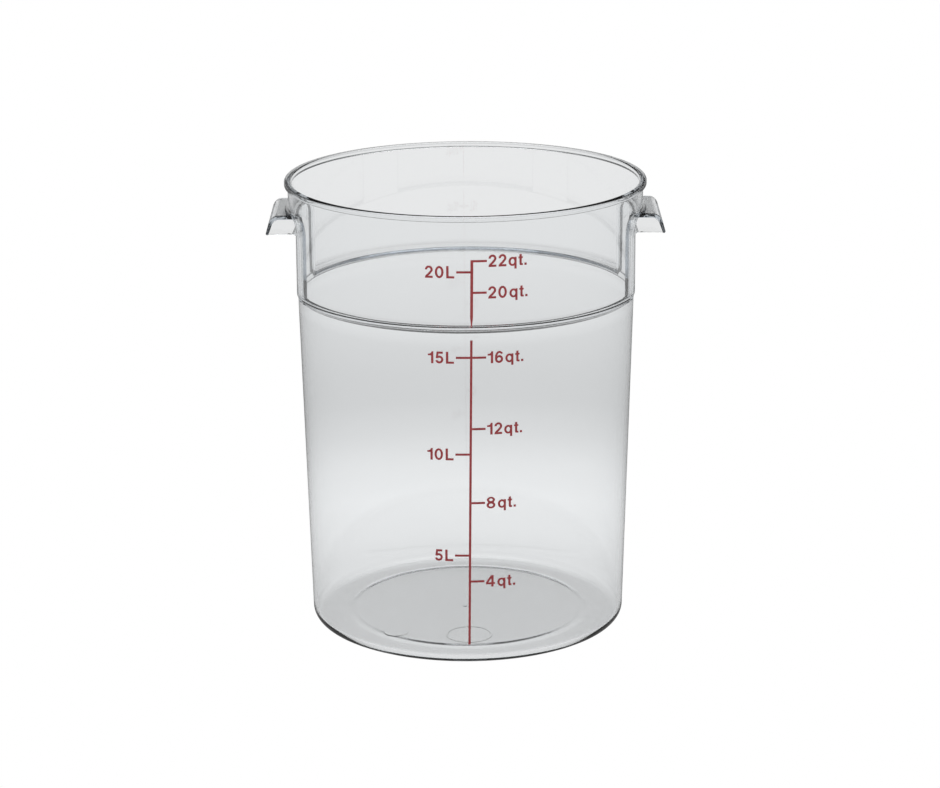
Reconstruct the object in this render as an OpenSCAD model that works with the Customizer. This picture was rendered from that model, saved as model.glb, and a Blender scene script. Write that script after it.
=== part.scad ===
// Clear round storage container with a stepped collar, two hook handles and a
// printed capacity scale. Millimetres. Origin at the middle of the underside,
// +Z up, the printed scale faces -Y, the handles lie on the X axis.

/* [Overall] */
// Height from the table to the top of the rim
height = 384; // [380:0.5:392]
// Wall thickness of the barrel and the collar
wall = 3; // [2.6:0.1:3.4]
// Thickness of the floor
floor_t = 4; // [3.4:0.1:5]

/* [Barrel] */
// Outer radius that the barrel's slope reaches at the table
barrel_r0 = 133.7; // [132:0.1:135]
// Outer radius of the barrel just under the shoulder
barrel_r1 = 141.8; // [141:0.1:142.2]
// Height of the shoulder's underside
ledge_z = 289; // [285:0.5:292]
// Radius of the outer bottom corner
corner_r = 9; // [7:0.5:11]
// Radius of the raised middle of the floor
panel_r = 98; // [90:1:104]
// Height that the middle of the floor is raised
panel_rise = 1.2; // [0.6:0.1:1.6]

/* [Collar] */
// Outer radius of the collar at the shoulder
collar_r0 = 148.1; // [147.6:0.1:148.4]
// Outer radius of the collar under the rim
collar_r1 = 148.7; // [148.5:0.1:149.4]
// Thickness of the shoulder
ledge_t = 3.4; // [3:0.1:4]
// Outer radius of the rim bead
rim_r = 151.6; // [151:0.1:152.4]
// Height of the rim bead
rim_h = 4.6; // [4:0.1:6]

/* [Finger pockets] */
// Half width of the pocket under each handle
pocket_w = 50; // [46:0.5:54]
// Outer radius of the wall at the back of the pocket
pocket_r = 142.7; // [142.4:0.1:143.4]
// Radius of the pocket's upper corners
pocket_corner = 13; // [9:0.5:15]

/* [Handles] */
// Height of the top face of the handle plate
plate_z = 359.3; // [356:0.1:361]
// Thickness of the handle plate and lip
plate_t = 3; // [2.6:0.1:3.4]
// Length of each handle along Y
handle_len = 72; // [66:0.5:78]
// Distance from the axis to the outermost point of a handle
handle_reach = 166; // [164:0.5:169]
// Height of the lower edge of the handle lip
lip_z = 343.2; // [341:0.2:346]
// Thickness of the web that closes each end of a handle
web_t = 2.4; // [2:0.1:3]

/* [Printed scale] */
// Thickness of the ink
ink_t = 0.25; // [0.2:0.05:0.4]
// Width of the scale line on the barrel
line_w = 1.95; // [1.6:0.05:2.4]
// Height of a tick mark
tick_h = 1.8; // [1.4:0.1:2.2]
// Length of a tick mark
tick_len = 11.9; // [10:0.1:13]
// Sideways place of the scale line at the table, along the surface
print_x0 = 1.0; // [0:0.1:4]
// Sideways lean of the scale line, per unit of height
print_lean = 0.011; // [0:0.001:0.012]

/* [Hidden] */
$fn = 96;

base_h = 14;                        // the base zone's top, above both corner curves
rim_z = height - rim_h;             // underside of the rim bead
plate_u = plate_z - plate_t;        // underside of the handle plate
inner_corner = corner_r - wall;
shelf_z = ledge_z + ledge_t;        // top of the shoulder, inside
rim_in = collar_r1 - wall;          // inner radius at the mouth

function bar_r(z) = barrel_r0 + (barrel_r1 - barrel_r0) * z / ledge_z;
function col_r(z) = collar_r0 + (collar_r1 - collar_r0) * (z - ledge_z) / (rim_z - ledge_z);
function skin_r(z) = z < ledge_z ? bar_r(z) : col_r(z);
function arc(cx, cy, rx, ry, a0, a1, n) =
    [for (i = [0:n]) let (a = a0 + (a1 - a0) * i / n) [cx + rx * cos(a), cy + ry * sin(a)]];
slope = atan((barrel_r1 - barrel_r0) / ledge_z);
// centre of a corner circle of radius r that touches the height z0 and a wall
// whose surface lies d inside the barrel's outer surface
function corner_x(r, z0, d) = bar_r(z0 + r) - d - r / cos(slope);

// ---------- plastic, as two full bodies: the outside and the hollow ----------

module outer_barrel() {
    cx = corner_x(corner_r, 0, 0);
    rotate_extrude()
        polygon(concat(
            [[0, panel_rise], [panel_r, panel_rise], [panel_r + 6, 0]],
            arc(cx, corner_r, corner_r, corner_r, -90, -slope, 9),
            [[barrel_r1, ledge_z], [0, ledge_z]]));
}

module outer_collar() {
    rotate_extrude()
        polygon([[0, ledge_z], [collar_r0 - 0.5, ledge_z], [collar_r0, ledge_z + 0.5],
                 [collar_r1, rim_z], [0, rim_z]]);
}

// half outline of a pocket seen along X: flat below, round upper corners
module pocket_face(w, top, r) {
    z0 = ledge_z - 1;
    polygon(concat([[-w, z0], [w, z0]],
                   arc(w - r, top - r, r, r, 0, 90, 8),
                   arc(-w + r, top - r, r, r, 90, 180, 8)));
}

module pocket_block(w, top, r) {
    for (s = [-1, 1])
        translate([s * 155, 0, 0])
            rotate([90, 0, 90])
                linear_extrude(height = 90, center = true)
                    pocket_face(w, top, r);
}

// what the pockets take away from the outside of the collar
module pocket_cut() {
    difference() {
        pocket_block(pocket_w, plate_u, pocket_corner);
        translate([0, 0, ledge_z - 5]) cylinder(r = pocket_r, h = 120);
    }
}

module outer_body() {
    difference() {
        outer_collar();
        pocket_cut();
    }
}

module hollow_barrel() {
    cx = corner_x(inner_corner, floor_t, wall);
    rotate_extrude()
        polygon(concat(
            [[0, floor_t + panel_rise], [panel_r, floor_t + panel_rise], [panel_r + 6, floor_t]],
            arc(cx, floor_t + inner_corner, inner_corner, inner_corner, -90, -slope, 7),
            [[barrel_r1 - wall, ledge_z], [0, ledge_z]]));
}

module hollow_collar() {
    difference() {
        rotate_extrude()
            polygon([[0, shelf_z], [collar_r0 - wall, shelf_z],
                     [rim_in, rim_z], [0, rim_z]]);
        // the pockets' walls stand into the hollow
        difference() {
            pocket_block(pocket_w + wall, plate_z, pocket_corner + wall);
            translate([0, 0, ledge_z - 5]) cylinder(r = pocket_r - wall, h = 120);
        }
    }
}

module zone(z0, z1) {
    translate([0, 0, z0]) cylinder(r = 180, h = z1 - z0);
}

module base() color([0.86, 0.88, 0.89, 0.45])
    difference() {
        intersection() { outer_barrel(); zone(-1, base_h); }
        hollow_barrel();
    }

module barrel_wall() color([0.88, 0.90, 0.91, 0.35])
    rotate_extrude()
        polygon([[bar_r(base_h), base_h], [barrel_r1, ledge_z],
                 [barrel_r1 - wall, ledge_z], [bar_r(base_h) - wall, base_h]]);

module shoulder_ledge() color([0.80, 0.82, 0.84, 0.55])
    difference() {
        intersection() { outer_body(); zone(ledge_z, shelf_z); }
        rotate_extrude()
            polygon([[0, ledge_z - 1], [barrel_r1 - wall, ledge_z - 1],
                     [barrel_r1 - wall, shelf_z - 0.8], [barrel_r1 - wall + 1, shelf_z + 0.2],
                     [0, shelf_z + 0.2]]);
    }

module collar_wall() color([0.87, 0.90, 0.92, 0.35])
    difference() {
        intersection() { outer_body(); zone(shelf_z, rim_z); }
        hollow_collar();
    }

module rim_bead() color([0.82, 0.85, 0.87, 0.55])
    rotate_extrude()
        polygon(concat(
            [[rim_in, rim_z], [rim_r - 1.0, rim_z]],
            arc(rim_r - 1, rim_z + 1, 1, 1, -60, 0, 3),
            arc(rim_r - 1.4, height - 1.4, 1.4, 1.4, 0, 90, 5),
            arc(rim_in + 0.8, height - 0.8, 0.8, 0.8, 90, 180, 4)));

// ---------- handles ----------

// section of one handle, x outwards, y up: plate, round shoulder, flared lip
module hook_section() {
    x1 = handle_reach;
    xo = x1 - 10.6;
    polygon(concat(
        [[130, plate_u], [xo - 0.4, plate_u]],
        arc(xo - 0.4, plate_u - 5.6, 5.6, 5.6, 82, 14, 6),
        [[x1 - 3.6, lip_z + 0.5], [x1 - 3.0, lip_z], [x1 - 0.8, lip_z], [x1, lip_z + 0.8]],
        arc(xo - 0.4, plate_z - 8.8, 8.8, 8.8, 14, 90, 8),
        [[130, plate_z]]));
}

// the thin web that closes an end, with its concave root at the wall
module web_section() {
    x1 = handle_reach;
    xr = 137.5;
    r = 7.5;
    polygon(concat(
        [[130, plate_u + 0.5], [x1 - 11, plate_u + 0.5], [x1 - 4, plate_u - 5], [x1 - 2.2, lip_z + 0.6], [x1 - 3, lip_z]],
        arc(xr + r, lip_z - r, r, r, 90, 180, 6),
        [[130, lip_z - r]]));
}

module hook(s) {
    difference() {
        union() {
            rotate([90, 0, 0]) linear_extrude(height = handle_len, center = true)
                mirror([s < 0 ? 1 : 0, 0]) hook_section();
            for (e = [-1, 1])
                translate([0, e * (handle_len - web_t) / 2, 0])
                    rotate([90, 0, 0]) linear_extrude(height = web_t, center = true)
                        mirror([s < 0 ? 1 : 0, 0]) web_section();
        }
        outer_body();
    }
}

module handle_left() color([0.78, 0.81, 0.83, 0.6]) hook(-1);
module handle_right() color([0.78, 0.81, 0.83, 0.6]) hook(1);

// ---------- printed scale ----------

ink_colour = [0.50, 0.13, 0.15];

// place of the scale line along the surface at height z
function line_s(z) = print_x0 + print_lean * z;

// a thin skin of ink just outside the plastic, between two heights
module ink_skin(z0, z1) {
    rotate_extrude()
        polygon([[skin_r(z0), z0], [skin_r(z0) + ink_t, z0],
                 [skin_r(z1) + ink_t, z1], [skin_r(z1), z1]]);
}

// stands a flat shape up on the front of the wall, s along the surface
module on_wall(s, z) {
    r = skin_r(z);
    rotate([0, 0, s / r * 180 / PI])
        translate([0, -r + 2.5, z])
            rotate([90, 0, 0])
                linear_extrude(height = 5)
                    children();
}

module ring2(cx, cy, rx, ry, hx, hy) {
    difference() {
        polygon([for (i = [0:27]) [cx + rx * cos(i * 360 / 28), cy + ry * sin(i * 360 / 28)]]);
        polygon([for (i = [0:19]) [cx + hx * cos(i * 18), cy + hy * sin(i * 18)]]);
    }
}

// figures and letters, 10 high, drawn from their lower left corner
module g_0() ring2(3.5, 5, 3.5, 5, 1.75, 3.3);
module g_1() polygon([[2.6, 0], [4.4, 0], [4.4, 10], [3.2, 10], [2.6, 8.7], [1.5, 8.1],
                      [0, 7.9], [0, 6.5], [2.6, 6.6]]);
module g_2() polygon(concat(
    [[0, 0], [6.4, 0], [6.4, 1.7], [2.7, 1.7], [4.2, 3.2]],
    arc(3.25, 6.9, 3.1, 3.1, -32, 180, 12),
    arc(3.25, 6.9, 1.4, 1.45, 180, -30, 9),
    [[2.6, 4.0], [0.6, 2.2]]));
module g_4() difference() {
    polygon([[4.5, 0], [6.4, 0], [6.4, 2.1], [7.6, 2.1], [7.6, 3.7], [6.4, 3.7], [6.4, 10],
             [4.2, 10], [0, 3.9], [0, 2.1], [4.5, 2.1]]);
    polygon([[4.5, 3.7], [4.5, 7.4], [1.9, 3.7]]);
}
module g_5() polygon(concat(
    arc(3.3, 3.3, 3.3, 3.3, 195, 472, 16),
    [[2.45, 6.5], [2.7, 8.3], [6.2, 8.3], [6.2, 10], [1.2, 10], [0.4, 4.6], [2.0, 4.4]],
    arc(3.3, 3.3, 1.6, 1.6, 130, -165, 12)));
module g_6() union() {
    ring2(3.3, 3.2, 3.3, 3.2, 1.6, 1.55);
    polygon(concat(arc(3.5, 5, 3.5, 5, 182, 35, 12), arc(3.5, 5, 1.8, 3.4, 40, 182, 9)));
}
module g_8() difference() {
    union() {
        polygon(arc(3.65, 2.85, 3.65, 2.85, 0, 350, 27));
        polygon(arc(3.65, 7.4, 3.3, 2.6, 0, 350, 27));
    }
    polygon(arc(3.65, 2.8, 1.85, 1.35, 0, 340, 17));
    polygon(arc(3.65, 7.5, 1.6, 1.15, 0, 340, 17));
}
module g_q() union() {
    ring2(3.3, 3.6, 3.3, 3.7, 1.6, 2.15);
    translate([4.9, -2.4]) square([1.7, 9.6]);
}
module g_t() polygon([[0, 5.8], [0.9, 5.8], [0.9, 0.9], [1.7, 0], [3.7, 0], [3.7, 1.4], [2.7, 1.5],
                      [2.7, 5.8], [3.7, 5.8], [3.7, 7.2], [2.7, 7.2], [2.7, 9.3], [0.9, 9.3],
                      [0.9, 7.2], [0, 7.2]]);
module g_dot() square(1.9);
module g_L() polygon([[0, 0], [6.5, 0], [6.5, 1.7], [1.9, 1.7], [1.9, 10], [0, 10]]);

module glyph(c) {
    if (c == "0") g_0();
    if (c == "1") g_1();
    if (c == "2") g_2();
    if (c == "4") g_4();
    if (c == "5") g_5();
    if (c == "6") g_6();
    if (c == "8") g_8();
    if (c == "q") g_q();
    if (c == "t") g_t();
    if (c == ".") g_dot();
    if (c == "L") g_L();
}
function step(c) = c == "0" ? 9.1 : c == "1" ? 6.0 : c == "2" ? 8.1 : c == "4" ? 9.6 : c == "5" ? 8.7
    : c == "6" ? 8.5 : c == "8" ? 9.4 : c == "q" ? 8.2 : c == "t" ? 5.0 : c == "L" ? 6.5 : 1.9;
function run(t, i) = i <= 0 ? 0 : run(t, i - 1) + step(t[i - 1]);

// a line of figures starting at s0 along the surface, centred on height z
module figures(t, s0, z) {
    for (i = [0:len(t) - 1])
        on_wall(s0 + run(t, i) + step(t[i]) / 2, z - 5)
            translate([-step(t[i]) / 2, 0]) glyph(t[i]);
}

module quart_mark(t, z) color(ink_colour)
    intersection() {
        ink_skin(z - 9, z + 9);
        union() {
            on_wall(line_s(z) + line_w / 2 + tick_len / 2 - 0.2, z)
                square([tick_len - 0.2, tick_h], center = true);
            figures(t, line_s(z) + 13.2, z);
        }
    }

module litre_mark(t, z) color(ink_colour)
    intersection() {
        ink_skin(z - 9, z + 9);
        union() {
            on_wall(line_s(z) - line_w / 2 - tick_len / 2 - 0.3, z)
                square([tick_len - 0.2, tick_h], center = true);
            figures(t, line_s(z) - 13.9 - run(t, len(t)), z);
        }
    }

// a narrow upright slab through the front wall that follows the scale line
module line_slab(z0, z1, w0, w1) {
    translate([0, -125, 0])
        rotate([90, 0, 0])
            linear_extrude(height = 30)
                polygon([[line_s(z0) - w0 / 2, z0], [line_s(z0) + w0 / 2, z0],
                         [line_s(z1) + w1 / 2, z1], [line_s(z1) - w1 / 2, z1]]);
}

module scale_line_lower() color(ink_colour)
    intersection() {
        ink_skin(17.7, 280.6);
        line_slab(17, 281, line_w, line_w);
    }

module scale_line_upper() color(ink_colour)
    intersection() {
        ink_skin(292.8, 348.4);
        union() {
            line_slab(292, 300, 0.5, 2.3);
            line_slab(300, 349, 2.3, 2.3);
        }
    }

module mark_4qt() quart_mark("4qt.", 73.6);
module mark_8qt() quart_mark("8qt.", 142.0);
module mark_12qt() quart_mark("12qt.", 205.6);
module mark_16qt() quart_mark("16qt.", 266.0);
module mark_20qt() quart_mark("20qt.", 321.6);
module mark_22qt() quart_mark("22qt.", 347.5);
module mark_5l() litre_mark("5L", 96.4);
module mark_10l() litre_mark("10L", 183.9);
module mark_15l() litre_mark("15L", 266.0);
module mark_20l() litre_mark("20L", 338.5);

base();
barrel_wall();
shoulder_ledge();
collar_wall();
rim_bead();
handle_left();
handle_right();
scale_line_lower();
scale_line_upper();
mark_4qt();
mark_8qt();
mark_12qt();
mark_16qt();
mark_20qt();
mark_22qt();
mark_5l();
mark_10l();
mark_15l();
mark_20l();
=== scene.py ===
import math

import bmesh
import bpy
import numpy as np
from mathutils import Matrix, Vector
from mathutils.geometry import tessellate_polygon


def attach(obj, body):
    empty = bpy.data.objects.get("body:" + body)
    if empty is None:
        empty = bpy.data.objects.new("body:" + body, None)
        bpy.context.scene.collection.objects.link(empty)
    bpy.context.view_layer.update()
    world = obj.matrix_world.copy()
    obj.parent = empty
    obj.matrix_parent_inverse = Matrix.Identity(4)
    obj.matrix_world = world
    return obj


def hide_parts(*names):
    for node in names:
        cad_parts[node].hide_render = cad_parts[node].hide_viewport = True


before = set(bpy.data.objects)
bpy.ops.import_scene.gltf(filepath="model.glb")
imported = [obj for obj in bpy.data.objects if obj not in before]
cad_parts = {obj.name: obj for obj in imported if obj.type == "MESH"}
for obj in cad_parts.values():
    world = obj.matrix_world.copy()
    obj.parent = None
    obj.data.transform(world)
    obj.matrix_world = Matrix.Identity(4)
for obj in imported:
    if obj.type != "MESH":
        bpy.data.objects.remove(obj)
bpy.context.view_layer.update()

MM = 0.001

# ---------------------------------------------------------------- sizes (mm), as in the construction
HEIGHT, WALL, FLOOR_T = 384.0, 3.0, 4.0
BAR_R0, BAR_R1, LEDGE_Z, CORNER = 133.7, 141.8, 289.0, 9.0
PANEL_R, RISE = 98.0, 1.2
COL_R0, COL_R1, LEDGE_T = 148.1, 148.7, 3.4
RIM_R, RIM_H = 151.57, 4.6
POCKET_W, POCKET_R, POCKET_C = 50.0, 142.7, 13.0
PLATE_Z, PLATE_T = 359.3, 3.0
PLATE_U = PLATE_Z - PLATE_T
HANDLE_LEN, REACH, LIP_Z, WEB_T = 72.0, 166.0, 343.2, 2.4
RIM_Z = HEIGHT - RIM_H
SHELF_Z = LEDGE_Z + LEDGE_T
UNDER_Z, UNDER_K = 286.4, 4.3 / 6.3
SLOPE = math.atan((BAR_R1 - BAR_R0) / LEDGE_Z)


def bar_r(z):
    return BAR_R0 + (BAR_R1 - BAR_R0) * z / LEDGE_Z


def col_r(z):
    return COL_R0 + (COL_R1 - COL_R0) * (z - LEDGE_Z) / (RIM_Z - LEDGE_Z)


def skin_r(z):
    return bar_r(z) if z < LEDGE_Z else col_r(z)


def arc(cx, cy, r, a0, a1, n, ry=None):
    ry = r if ry is None else ry
    return [(cx + r * math.cos(math.radians(a0 + (a1 - a0) * i / n)),
             cy + ry * math.sin(math.radians(a0 + (a1 - a0) * i / n))) for i in range(n + 1)]


def smooth(t):
    t = np.clip(t, 0.0, 1.0)
    return t * t * t * (t * (t * 6 - 15) + 10)


# ---------------------------------------------------------------- the plastic shell
def pocket_mask(y, z, half, top, corner, soft):
    """1 inside a pocket's outline, 0 outside, with a soft edge."""
    qx = np.abs(y) - (half - corner)
    qz = z - (top - corner)
    d = np.hypot(np.maximum(qx, 0), np.maximum(qz, 0)) + np.minimum(np.maximum(qx, qz), 0) - corner
    return smooth(0.5 - d / (2 * soft))


def spread(a, b, n):
    return [a + (b - a) * i / n for i in range(n)]


# columns: fine near the pockets' upright edges
quad = spread(0, 16.0, 13) + spread(16.0, 25.0, 40) + spread(25.0, 90.0, 46)
PHI = np.radians(np.array(quad + [180 - q for q in quad[::-1] if q > 0 and True] if False else
                          sorted(set([round(q, 5) for q in quad] + [90.0] + [round(180 - q, 5) for q in quad]
                                     + [round(180 + q, 5) for q in quad if q > 0] + [270.0]
                                     + [round(360 - q, 5) for q in quad if q > 0]))))
NP = len(PHI)
CO, SI = np.cos(PHI), np.sin(PHI)

collar_z = (spread(SHELF_Z + 1.8, 338, 14) + spread(338, 363.5, 44) + spread(363.5, RIM_Z - 1.2, 6) + [RIM_Z - 1.2])

rows = []          # each row: (radius per column, height per column)


def ring(r, z):
    rows.append((np.full(NP, float(r)), np.full(NP, float(z))))


def step_ring(r, z, foot, edge_rows_t):
    rows.append((r, z))


# underside, from the middle out
GATE = 2.2
for r, z in [(3.4, RISE), (10, RISE), (40, RISE), (75, RISE), (96.5, RISE), (98, RISE - 0.06), (99.6, RISE - 0.3),
             (101, RISE / 2), (102.4, 0.3), (104, 0.06), (105.5, 0.0), (114, 0.0)]:
    ring(r, z)
cx = bar_r(CORNER) - CORNER / math.cos(SLOPE)
for r, z in arc(cx, CORNER, CORNER, -90, -math.degrees(SLOPE), 16):
    ring(r, z)
for z in spread(14, UNDER_Z - 0.5, 22) + [UNDER_Z - 0.5]:
    ring(bar_r(z), z)


def outer_radius(z, r_full):
    y = 145.5 * SI
    w = pocket_mask(y, z, POCKET_W, PLATE_U, POCKET_C, 1.25)
    return r_full + (POCKET_R - r_full) * w


# shoulder: inner corner, flat underside, outer edge
w_low = pocket_mask(145.5 * SI, LEDGE_Z + 4, POCKET_W, PLATE_U, POCKET_C, 1.25)
edge = COL_R0 + (POCKET_R - COL_R0) * w_low
base_r = BAR_R1
for t, dz in [(0.0, -0.15), (0.02, 0.0), (0.06, 0.0), (0.3, 0.0), (0.6, 0.0), (0.93, 0.0), (0.97, 0.0)]:
    r = base_r + (edge - base_r) * t
    rows.append((r, UNDER_Z + UNDER_K * (r - base_r) + dz))
top = UNDER_Z + UNDER_K * (edge - base_r)
for dr, dz in [(-0.06, 0.03), (0.0, 0.16), (0.0, 0.3), (0.0, 0.8)]:
    rows.append((edge + dr, top + dz))
for z in spread(LEDGE_Z + 3.2, collar_z[0], 2) + collar_z:
    rows.append((outer_radius(z, col_r(z)), np.full(NP, z)))
# bead
fr = 0.7
for r, z in arc(COL_R1 + fr, RIM_Z - fr + 0.05, fr, 180, 90, 4):
    ring(r, z)
for r, z in arc(RIM_R - 0.9, RIM_Z + 0.95, 0.9, -90, 0, 5):
    ring(r, z)
for r, z in arc(RIM_R - 1.5, HEIGHT - 1.5, 1.5, 0, 90, 7):
    ring(r, z)
rim_in = COL_R1 - WALL
for r, z in arc(rim_in + 1.9, HEIGHT - 1.9, 1.9, 90, 180, 9):
    ring(r, z)
ring(rim_in, HEIGHT - 2.2)
# inside of the collar
for z in sorted(collar_z, reverse=True):
    y = 145.5 * SI
    w = pocket_mask(y, z, POCKET_W + WALL, PLATE_Z, POCKET_C + WALL, 1.25)
    rf = col_r(z) - WALL
    rows.append((rf + (POCKET_R - WALL - rf) * w, np.full(NP, z)))
# shelf inside
w_in = pocket_mask(145.5 * SI, LEDGE_Z + 6, POCKET_W + WALL, PLATE_Z, POCKET_C + WALL, 1.25)
out_r = (COL_R0 - WALL) + (POCKET_R - WALL - (COL_R0 - WALL)) * w_in
in_r = BAR_R1 - WALL
f1 = np.minimum(1.7, (out_r - in_r) * 0.45)
for a in (0, 25, 50, 72, 90):
    c = math.cos(math.radians(a)); s = math.sin(math.radians(a))
    rows.append((out_r - f1 + f1 * c, SHELF_Z + f1 - f1 * s))
f2 = np.minimum(2.8, (out_r - in_r) * 0.45)
for a in (90, 80, 70, 60, 50, 40, 30, 20, 10, 0):
    c = math.cos(math.radians(a)); s = math.sin(math.radians(a))
    rows.append((in_r + f2 - f2 * c, SHELF_Z - f2 + f2 * s))
for z in spread(LEDGE_Z - 2, 14, 22) + [14.0]:
    ring(bar_r(z) - WALL, z)
ic = CORNER - WALL
icx = bar_r(FLOOR_T + ic) - WALL - ic / math.cos(SLOPE)
for r, z in reversed(arc(icx, FLOOR_T + ic, ic, -90, -math.degrees(SLOPE), 12)):
    ring(r, z)
FT = FLOOR_T
for r, z in [(114, FT), (105.5, FT), (104, FT + 0.06), (102.4, FT + 0.3), (101, FT + RISE / 2), (99.6, FT + RISE - 0.3),
             (98, FT + RISE - 0.06), (96.5, FT + RISE), (75, FT + RISE), (40, FT + RISE), (10, FT + RISE), (3, FT + RISE)]:
    ring(r, z)

NR = len(rows)
V = np.empty((NR, NP, 3))
for i, (r, z) in enumerate(rows):
    V[i, :, 0] = r * CO
    V[i, :, 1] = r * SI
    V[i, :, 2] = z
verts = (V.reshape(-1, 3) * MM).tolist()
faces = []
for i in range(NR - 1):
    a = i * NP
    b = a + NP
    for j in range(NP):
        k = (j + 1) % NP
        faces.append((a + j, a + k, b + k, b + j))
lo = len(verts); verts.append((0, 0, RISE * MM))
hi = len(verts); verts.append((0, 0, (FT + RISE) * MM))
for j in range(NP):
    k = (j + 1) % NP
    faces.append((lo, k, j))
    faces.append((hi, (NR - 1) * NP + j, (NR - 1) * NP + k))


def make_mesh(name, verts, faces, flip_check=True):
    me = bpy.data.meshes.new(name)
    me.from_pydata(verts, [], faces)
    me.validate()
    bm = bmesh.new()
    bm.from_mesh(me)
    bmesh.ops.remove_doubles(bm, verts=bm.verts, dist=1e-7)
    bmesh.ops.recalc_face_normals(bm, faces=bm.faces)
    if bm.calc_volume(signed=True) < 0:
        bmesh.ops.reverse_faces(bm, faces=bm.faces)
    bm.to_mesh(me)
    bm.free()
    o = bpy.data.objects.new(name, me)
    bpy.context.scene.collection.objects.link(o)
    return o


def apply_mods(o):
    bpy.context.view_layer.update()
    dg = bpy.context.evaluated_depsgraph_get()
    me = bpy.data.meshes.new_from_object(o.evaluated_get(dg))
    o.modifiers.clear()
    old = o.data
    o.data = me
    bpy.data.meshes.remove(old)


def join_solid(o, other, op="UNION"):
    m = o.modifiers.new("join", "BOOLEAN")
    m.operation = op
    m.solver = "MANIFOLD"
    m.object = other
    apply_mods(o)
    bpy.data.objects.remove(other)


shell = make_mesh("container_shell", verts, faces)


# ---------------------------------------------------------------- handles
def slices(section, ys, name, side):
    """Sweeps a section along Y. A point (kind, a, z) with kind 'r' keeps its distance a from the axis, 'x' its X."""
    vs, fs = [], []
    n = len(section)
    for y in ys:
        for kind, a, z in section:
            x = math.sqrt(a * a - y * y) if kind == "r" else a
            vs.append((side * x * MM, y * MM, z * MM))
    for i in range(len(ys) - 1):
        for j in range(n):
            k = (j + 1) % n
            fs.append((i * n + j, i * n + k, (i + 1) * n + k, (i + 1) * n + j))
    fs.append(tuple(range(n)))
    fs.append(tuple(range((len(ys) - 1) * n, len(ys) * n)))
    return make_mesh(name, vs, fs)


xc = REACH - 11.0
hook = [("r", 147.2, 362.4), ("r", 148.55, 362.4)]
hook += [("r", r, z) for r, z in arc(151.9, 362.5, 3.2, 187, 262, 6)]
hook += [("x", x, z) for x, z in reversed(arc(xc, PLATE_Z - 8.8, 8.8, 14, 90, 14))]
hook += [("x", REACH - 0.25, LIP_Z + 1.5)]
hook += [("x", x, z) for x, z in arc(REACH - 1.5, LIP_Z + 1.25, 1.25, 0, -180, 8)]
hook += [("x", x, z) for x, z in arc(xc, PLATE_U - 5.6, 5.6, 14, 90, 10)]
hook += [("r", 146.0, PLATE_U + 0.02), ("r", 141.4, PLATE_U + 0.02), ("r", 141.4, 358.0), ("r", 147.2, 358.0)]
web = [("r", 141.4, PLATE_U + 1.0), ("x", xc, PLATE_U + 1.0), ("x", REACH - 5.6, PLATE_U - 3.6), ("x", REACH - 2.2, LIP_Z + 1.6),
       ("x", REACH - 2.6, LIP_Z + 0.7)]
web += [("x", x, z) for x, z in arc(145.0, LIP_Z + 0.7 - 8.0, 8.0, 90, 172, 9)]
web += [("r", 141.4, LIP_Z - 7.0)]

H2 = HANDLE_LEN / 2
for side in (-1, 1):
    body = slices(hook, [-H2 + HANDLE_LEN * i / 24 for i in range(25)], "h", side)
    m = body.modifiers.new("b", "BEVEL")
    m.width = 0.0005
    m.segments = 2
    m.limit_method = "ANGLE"
    m.angle_limit = math.radians(55)
    apply_mods(body)
    join_solid(shell, body)
    for e in (-1, 1):
        y0, y1 = e * (H2 - 0.12), e * (H2 - WEB_T)
        w = slices(web, [y0, (y0 + y1) / 2, y1], "w", side)
        m = w.modifiers.new("b", "BEVEL")
        m.width = 0.00035
        m.segments = 2
        m.limit_method = "ANGLE"
        m.angle_limit = math.radians(55)
        apply_mods(w)
        join_solid(shell, w)


# ---------------------------------------------------------------- plain moulding marks on the floor
def disc(x, y, r, h, name, hole=0.0, n=48):
    top = FT + RISE + h
    prof = [(r, FT + 0.6), (r, top - 0.12), (r - 0.15, top)]
    if hole:
        prof += [(hole + 0.15, top), (hole, top - 0.12), (hole, FT + 0.6)]
    vs, fs = [], []
    m = len(prof)
    for i in range(n):
        a = 2 * math.pi * i / n
        for rr, z in prof:
            vs.append(((x + rr * math.cos(a)) * MM, (y + rr * math.sin(a)) * MM, z * MM))
    for i in range(n):
        k = (i + 1) % n
        for j in range(m if hole else m - 1):
            q = (j + 1) % m
            fs.append((i * m + j, k * m + j, k * m + q, i * m + q))
    if not hole:
        fs.append(tuple(i * m for i in range(n)))
        fs.append(tuple(i * m + m - 1 for i in range(n)))
    return make_mesh(name, vs, fs)


join_solid(shell, disc(-2.5, -6.9, 1.5, 0.7, "gate", n=24))
join_solid(shell, disc(-60.5, -69.0, 10.2, 0.35, "d1"))
join_solid(shell, disc(1.0, -76.0, 19.6, 0.35, "d2", hole=17.8, n=72))

me = shell.data
for p in me.polygons:
    p.use_smooth = True
me.set_sharp_from_angle(angle=math.radians(38))


# ---------------------------------------------------------------- printed scale
LINE_W, TICK_H, TICK_LEN = 1.95, 1.8, 11.9
INK_OUT, INK_IN = 0.16, -0.02


def line_s(z):
    return 1.0 + 0.011 * z


def loop_e(cx, cy, rx, ry, n=40):
    return [(cx + rx * math.cos(2 * math.pi * i / n), cy + ry * math.sin(2 * math.pi * i / n)) for i in range(n)]


def sq(x0, y0, x1, y1):
    return [(x0, y0), (x1, y0), (x1, y1), (x0, y1)]


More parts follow.
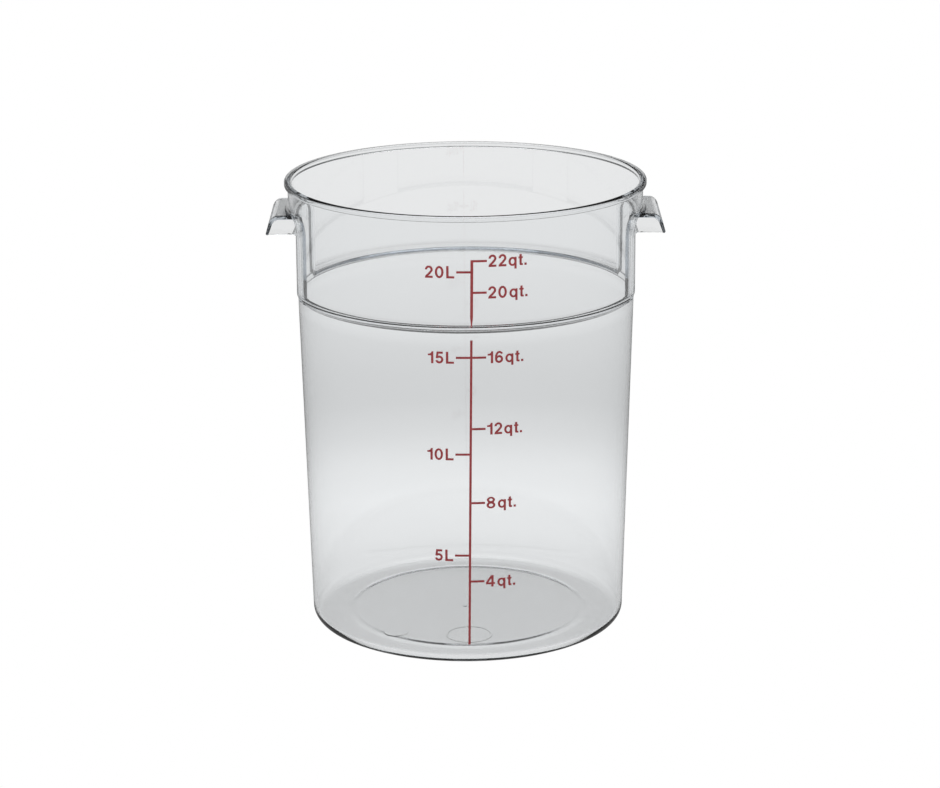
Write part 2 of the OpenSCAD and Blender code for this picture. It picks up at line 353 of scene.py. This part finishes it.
def glyph(c):
    """Outlines of one figure or letter, 10 high: a list of (outer loop, [holes])."""
    if c == "0":
        return [(loop_e(3.5, 5, 3.5, 5), [loop_e(3.5, 5, 1.65, 3.25)])]
    if c == "1":
        return [([(2.6, 0), (4.5, 0), (4.5, 10), (3.1, 10), (2.5, 8.7), (1.5, 8.05), (0, 7.9), (0, 6.5), (2.6, 6.55)], [])]
    if c == "2":
        return [([(0, 0), (6.4, 0), (6.4, 1.75), (2.75, 1.75), (4.3, 3.2)]
                 + arc(3.25, 6.9, 3.15, -34, 182, 22)
                 + arc(3.25, 6.9, 1.35, 182, -30, 18, 1.42)
                 + [(2.6, 4.0), (0.7, 2.2), (0.1, 1.0)], [])]
    if c == "4":
        return [([(4.4, 0), (6.4, 0), (6.4, 2.1), (7.6, 2.1), (7.6, 3.8), (6.4, 3.8), (6.4, 10), (4.2, 10), (0, 3.9), (0, 2.1), (4.4, 2.1)],
                 [[(4.5, 3.8), (4.5, 7.4), (2.0, 3.8)]])]
    if c == "5":
        return [(arc(3.3, 3.3, 3.3, 195, 472, 30)
                 + [(2.45, 6.5), (2.7, 8.2), (6.2, 8.2), (6.2, 10), (1.2, 10), (0.4, 4.5), (2.0, 4.3)]
                 + arc(3.3, 3.3, 1.5, 135, -165, 22), [])]
    if c == "6":
        return [(arc(3.3, 3.2, 3.3, -180, 100, 26) + [(2.0, 6.0)] + arc(3.6, 5, 1.85, 165, 42, 9, 3.35) + arc(3.6, 5, 3.6, 36, 180, 20, 5.0),
                 [loop_e(3.3, 3.2, 1.5, 1.5, 26)])]
    if c == "8":
        return [(arc(3.65, 2.9, 3.65, 128, 412, 30, 2.9) + arc(3.65, 7.4, 3.35, -42, 222, 28, 2.6),
                 [loop_e(3.65, 2.85, 1.75, 1.3, 24), loop_e(3.65, 7.45, 1.5, 1.1, 24)])]
    if c == "q":
        b = arc(3.3, 3.6, 3.3, 58, 302, 26, 3.7)
        return [(b + [(4.9, 0.35), (4.9, -2.4), (6.7, -2.4), (6.7, 7.2), (5.05, 7.2), (5.0, 6.7)], [loop_e(3.35, 3.6, 1.55, 2.1, 26)])]
    if c == "t":
        return [([(0, 5.8), (0.9, 5.8), (0.9, 1.3), (1.2, 0.4), (2.0, 0), (3.7, 0), (3.7, 1.5), (2.9, 1.55), (2.75, 1.8), (2.75, 5.8), (3.7, 5.8), (3.7, 7.2),
                  (2.75, 7.2), (2.75, 9.3), (0.9, 9.0), (0.9, 7.2), (0, 7.2)], [])]
    if c == "L":
        return [([(0, 0), (6.5, 0), (6.5, 1.75), (1.95, 1.75), (1.95, 10), (0, 10)], [])]
    return [(sq(0, 0, 1.9, 1.9), [])]


STEP = {"0": 9.1, "1": 6.0, "2": 8.1, "4": 9.6, "5": 8.7, "6": 8.5, "8": 9.4, "q": 8.2, "t": 5.0, "L": 6.5, ".": 1.9}


def densify(loop, most=1.2):
    out = []
    for i, (x0, y0) in enumerate(loop):
        x1, y1 = loop[(i + 1) % len(loop)]
        n = max(1, int(math.ceil(math.hypot(x1 - x0, y1 - y0) / most)))
        out += [(x0 + (x1 - x0) * k / n, y0 + (y1 - y0) * k / n) for k in range(n)]
    return out


def on_skin(s, z, off):
    r = skin_r(z) + off
    a = s / skin_r(z)
    return (r * math.sin(a) * MM, -r * math.cos(a) * MM, z * MM)


def ink_piece(name, shapes, node):
    """shapes: list of (outer, holes) already in surface coordinates (s, z)."""
    vs, fs = [], []
    for outer, holes in shapes:
        loops = [densify(outer)] + [densify(h) for h in holes]
        flat = [p for l in loops for p in l]
        tris = tessellate_polygon([[Vector((x, y, 0)) for x, y in l] for l in loops])
        base = len(vs)
        n = len(flat)
        vs += [on_skin(s, z, INK_OUT) for s, z in flat]
        vs += [on_skin(s, z, INK_IN) for s, z in flat]
        for t in tris:
            fs.append(tuple(base + i for i in t))
            fs.append(tuple(base + n + i for i in reversed(t)))
        k = 0
        for l in loops:
            m = len(l)
            for i in range(m):
                a, b = k + i, k + (i + 1) % m
                fs.append((base + a, base + b, base + n + b, base + n + a))
            k += m
    o = make_mesh(name, vs, fs)
    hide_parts(node)
    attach(o, "root")
    return o


def text_shapes(t, s0, z):
    out = []
    x = s0
    for c in t:
        for outer, holes in glyph(c):
            out.append(([(x + u, z - 5 + v) for u, v in outer], [[(x + u, z - 5 + v) for u, v in h] for h in holes]))
        x += STEP[c]
    return out


ink = []
for label, z, node in [("4qt.", 73.6, "mark_4qt"), ("8qt.", 142.0, "mark_8qt"), ("12qt.", 205.6, "mark_12qt"), ("16qt.", 266.0, "mark_16qt"),
                       ("20qt.", 321.6, "mark_20qt"), ("22qt.", 347.5, "mark_22qt")]:
    s = line_s(z) + LINE_W / 2 + 0.03
    shapes = [(sq(s, z - TICK_H / 2, s + TICK_LEN - 0.9, z + TICK_H / 2), [])] + text_shapes(label, line_s(z) + 13.2, z)
    ink.append(ink_piece("print_" + node, shapes, node))
for label, z, node in [("5L", 96.4, "mark_5l"), ("10L", 183.9, "mark_10l"), ("15L", 266.0, "mark_15l"), ("20L", 338.5, "mark_20l")]:
    s = line_s(z) - LINE_W / 2 - 0.03
    width = sum(STEP[c] for c in label)
    shapes = [(sq(s - TICK_LEN + 0.5, z - TICK_H / 2, s, z + TICK_H / 2), [])] + text_shapes(label, line_s(z) - 13.9 - width, z)
    ink.append(ink_piece("print_" + node, shapes, node))


def strip(z0, z1, w0, w1):
    return [(line_s(z0) - w0 / 2, z0), (line_s(z0) + w0 / 2, z0), (line_s(z1) + w1 / 2, z1), (line_s(z1) - w1 / 2, z1)]


ink.append(ink_piece("print_scale_line_lower", [(strip(17.7, 280.6, LINE_W, LINE_W), [])], "scale_line_lower"))
up = [(line_s(292.8) - 0.3, 292.8), (line_s(292.8) + 0.3, 292.8), (line_s(301) + 1.15, 301), (line_s(348.4) + 1.15, 348.4),
      (line_s(348.4) - 1.15, 348.4), (line_s(301) - 1.15, 301)]
ink.append(ink_piece("print_scale_line_upper", [(up, [])], "scale_line_upper"))


# ---------------------------------------------------------------- materials
def node_mat(name):
    m = bpy.data.materials.new(name)
    m.use_nodes = True
    nt = m.node_tree
    nt.nodes.clear()
    return m, nt, nt.nodes.new, nt.links.new


def plastic():
    m, nt, new, link = node_mat("clear_polycarbonate")
    out = new("ShaderNodeOutputMaterial")
    p = new("ShaderNodeBsdfPrincipled")
    p.inputs["Base Color"].default_value = (0.985, 0.992, 0.995, 1)
    p.inputs["Transmission Weight"].default_value = 1.0
    p.inputs["IOR"].default_value = 1.585
    p.inputs["Specular IOR Level"].default_value = 0.5
    tc = new("ShaderNodeTexCoord")
    # faint flow waviness and fine handling scratches
    n1 = new("ShaderNodeTexNoise"); n1.inputs["Scale"].default_value = 9.0; n1.inputs["Detail"].default_value = 2.0
    mp = new("ShaderNodeMapping"); mp.inputs["Scale"].default_value = (1.0, 1.0, 0.35)
    link(tc.outputs["Object"], mp.inputs["Vector"])
    link(mp.outputs["Vector"], n1.inputs["Vector"])
    n2 = new("ShaderNodeTexNoise"); n2.inputs["Scale"].default_value = 160.0; n2.inputs["Detail"].default_value = 4.0
    mp2 = new("ShaderNodeMapping"); mp2.inputs["Scale"].default_value = (1.0, 1.0, 0.08)
    link(tc.outputs["Object"], mp2.inputs["Vector"])
    link(mp2.outputs["Vector"], n2.inputs["Vector"])
    rr = new("ShaderNodeMapRange")
    rr.inputs["From Min"].default_value = 0.45; rr.inputs["From Max"].default_value = 0.8
    rr.inputs["To Min"].default_value = 0.012; rr.inputs["To Max"].default_value = 0.06
    link(n2.outputs["Fac"], rr.inputs["Value"])
    link(rr.outputs["Result"], p.inputs["Roughness"])
    b = new("ShaderNodeBump"); b.inputs["Strength"].default_value = 0.12; b.inputs["Distance"].default_value = 0.0004
    link(n1.outputs["Fac"], b.inputs["Height"])
    link(b.outputs["Normal"], p.inputs["Normal"])
    link(p.outputs["BSDF"], out.inputs["Surface"])
    v = new("ShaderNodeVolumeAbsorption")
    v.inputs["Color"].default_value = (0.825, 0.845, 0.865, 1)
    v.inputs["Density"].default_value = 45.0
    link(v.outputs["Volume"], out.inputs["Volume"])
    return m


def ink_mat():
    m, nt, new, link = node_mat("screen_print_ink")
    out = new("ShaderNodeOutputMaterial")
    p = new("ShaderNodeBsdfPrincipled")
    tc = new("ShaderNodeTexCoord")
    n = new("ShaderNodeTexNoise"); n.inputs["Scale"].default_value = 420.0; n.inputs["Detail"].default_value = 3.0
    link(tc.outputs["Object"], n.inputs["Vector"])
    cr = new("ShaderNodeValToRGB")
    cr.color_ramp.elements[0].position = 0.3; cr.color_ramp.elements[0].color = (0.33, 0.045, 0.05, 1)
    cr.color_ramp.elements[1].position = 0.75; cr.color_ramp.elements[1].color = (0.48, 0.085, 0.09, 1)
    link(n.outputs["Fac"], cr.inputs["Fac"])
    link(cr.outputs["Color"], p.inputs["Base Color"])
    n2 = new("ShaderNodeTexNoise"); n2.inputs["Scale"].default_value = 900.0
    link(tc.outputs["Object"], n2.inputs["Vector"])
    b = new("ShaderNodeBump"); b.inputs["Strength"].default_value = 0.25; b.inputs["Distance"].default_value = 0.0001
    link(n2.outputs["Fac"], b.inputs["Height"]); link(b.outputs["Normal"], p.inputs["Normal"])
    mr = new("ShaderNodeMapRange"); mr.inputs["To Min"].default_value = 0.42; mr.inputs["To Max"].default_value = 0.6
    link(n.outputs["Fac"], mr.inputs["Value"]); link(mr.outputs["Result"], p.inputs["Roughness"])
    link(p.outputs["BSDF"], out.inputs["Surface"])
    return m


PLASTIC, INK = plastic(), ink_mat()
shell.data.materials.clear()
shell.data.materials.append(PLASTIC)
for o in ink:
    o.data.materials.append(INK)
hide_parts("base", "barrel_wall", "shoulder_ledge", "collar_wall", "rim_bead", "handle_left", "handle_right")
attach(shell, "root")

# ---------------------------------------------------------------- stage: pale floor, soft studio surroundings; the floor's glow seen through the container carries painted shadow and painted light
bm = bmesh.new()
bmesh.ops.create_circle(bm, cap_ends=True, segments=96, radius=14.0)
fme = bpy.data.meshes.new("studio_floor")
bm.to_mesh(fme)
bm.free()
floor = bpy.data.objects.new("studio_floor", fme)
floor.location = (0, 0, -0.0004)
bpy.context.scene.collection.objects.link(floor)

m, nt, new, link = node_mat("pale_floor_with_painted_shadow")
out = new("ShaderNodeOutputMaterial")
geo = new("ShaderNodeNewGeometry")
ln = new("ShaderNodeVectorMath"); ln.operation = "LENGTH"
link(geo.outputs["Position"], ln.inputs[0])
ramp = new("ShaderNodeValToRGB")
mr = new("ShaderNodeMapRange")
mr.inputs["From Max"].default_value = 2.5
link(ln.outputs["Value"], mr.inputs["Value"])
link(mr.outputs["Result"], ramp.inputs["Fac"])
els = ramp.color_ramp.elements
# painted shadow and painted light on the floor: for non-camera rays the emission follows this radial ramp, darker under
# and around the container's foot and out to about 0.75 m, with a brighter painted ring near 0.3 m; camera rays see
# plain white emission
tones = [(0.0, 0.86), (0.052, 0.87), (0.066, 0.84), (0.085, 0.90), (0.128, 0.95), (0.172, 0.88), (0.212, 0.77), (0.26, 0.70), (0.30, 0.71),
         (0.36, 0.75), (0.43, 0.79), (0.56, 0.83), (0.76, 0.84), (1.0, 0.85)]
els[0].position, els[0].color = tones[0][0], (tones[0][1],) * 3 + (1,)
els[1].position, els[1].color = tones[-1][0], (tones[-1][1],) * 3 + (1,)
for pos, v in tones[1:-1]:
    e = els.new(pos)
    e.color = (v, v, v, 1)
em = new("ShaderNodeEmission")
link(ramp.outputs["Color"], em.inputs["Color"])
# painted shade in reflections: the floor's emission drops from 1.0 to 0.3 strength for reflection rays
dim = new("ShaderNodeMapRange")
dim.inputs["To Min"].default_value = 1.0
dim.inputs["To Max"].default_value = 0.3
em2 = new("ShaderNodeEmission"); em2.inputs["Color"].default_value = (1, 1, 1, 1); em2.inputs["Strength"].default_value = 1.0
lp = new("ShaderNodeLightPath")
link(lp.outputs["Is Reflection Ray"] if "Is Reflection Ray" in lp.outputs else lp.outputs["Is Glossy Ray"], dim.inputs["Value"])
link(dim.outputs["Result"], em.inputs["Strength"])
mx = new("ShaderNodeMixShader")
link(lp.outputs["Is Camera Ray"], mx.inputs["Fac"])
link(em.outputs["Emission"], mx.inputs[1])
link(em2.outputs["Emission"], mx.inputs[2])
link(mx.outputs["Shader"], out.inputs["Surface"])
fme.materials.append(m)

w = bpy.data.worlds.new("studio")
bpy.context.scene.world = w
w.use_nodes = True
nt = w.node_tree
nt.nodes.clear()
new, link = nt.nodes.new, nt.links.new
out = new("ShaderNodeOutputWorld")
tc = new("ShaderNodeTexCoord")
sep = new("ShaderNodeSeparateXYZ")
link(tc.outputs["Generated"], sep.inputs[0])
ramp = new("ShaderNodeValToRGB")
link(sep.outputs["Z"], ramp.inputs["Fac"])
els = ramp.color_ramp.elements
tones = [(0.0, 0.76), (0.10, 0.70), (0.17, 0.12), (0.24, 0.03), (0.56, 0.03), (0.66, 0.42), (0.8, 0.62), (1.0, 0.8)]
els[0].position, els[0].color = tones[0][0], (tones[0][1],) * 3 + (1,)
els[1].position, els[1].color = tones[-1][0], (tones[-1][1],) * 3 + (1,)
for pos, v in tones[1:-1]:
    e = els.new(pos)
    e.color = (v, v, v, 1)
bg1 = new("ShaderNodeBackground"); link(ramp.outputs["Color"], bg1.inputs["Color"])
bg2 = new("ShaderNodeBackground"); bg2.inputs["Color"].default_value = (1, 1, 1, 1)
lp = new("ShaderNodeLightPath")
mx = new("ShaderNodeMixShader")
link(lp.outputs["Is Camera Ray"], mx.inputs["Fac"])
link(bg1.outputs["Background"], mx.inputs[1])
link(bg2.outputs["Background"], mx.inputs[2])
link(mx.outputs["Shader"], out.inputs["Surface"])


def area(name, loc, size, energy, target=(0, 0, 0.2), tint=(1, 1, 1), shine=False):
    l = bpy.data.lights.new(name, "AREA")
    l.shape = "RECTANGLE"
    l.size, l.size_y = size
    l.energy = energy
    l.color = tint
    o = bpy.data.objects.new(name, l)
    o.location = loc
    d = Vector(target) - Vector(loc)
    o.rotation_euler = d.to_track_quat("-Z", "Y").to_euler()
    o.visible_camera = False
    o.visible_glossy = o.visible_transmission = shine
    bpy.context.scene.collection.objects.link(o)
    return o


area("key_soft", (-1.6, -1.8, 2.2), (1.4, 1.4), 48)
area("fill_soft", (2.2, -1.2, 1.6), (1.2, 1.8), 26)
area("top_soft", (0.15, 0.9, 2.4), (1.6, 0.9), 8, shine=True)

# ---------------------------------------------------------------- camera
Dy, Cz, P, F, CX, CY, ROLL = 2500.06, 920.40, 0.2832, 3047.76, 466.60, 396.25, -0.0060
cam = bpy.data.cameras.new("camera")
cam.sensor_fit = "HORIZONTAL"
cam.sensor_width = 36.0
cam.lens = F / 940 * 36.0
cam.shift_x = (470.0 - CX) / 940
cam.shift_y = (CY - 394.0) / 940
cam.clip_end = 60
cam.dof.use_dof = False
co = bpy.data.objects.new("camera", cam)
bpy.context.scene.collection.objects.link(co)
fwd = Vector((0, math.cos(P), -math.sin(P)))
right0 = Vector((1, 0, 0))
up0 = right0.cross(fwd)
c, s = math.cos(ROLL), math.sin(ROLL)
right = right0 * c + up0 * s
up_ = up0 * c - right0 * s
M = Matrix((right, up_, -fwd)).transposed().to_4x4()
M.translation = Vector((0, -Dy * MM, Cz * MM))
co.matrix_world = M
sc = bpy.context.scene
sc.camera = co
sc.view_settings.view_transform = "Standard"
sc.view_settings.look = "None"
cy = sc.cycles
cy.max_bounces = 28
cy.transmission_bounces = 26
cy.glossy_bounces = 10
cy.transparent_max_bounces = 24
cy.caustics_refractive = True
cy.caustics_reflective = True
cy.blur_glossy = 0.3
cy.sample_clamp_indirect = 4.0

bpy.context.view_layer.update()
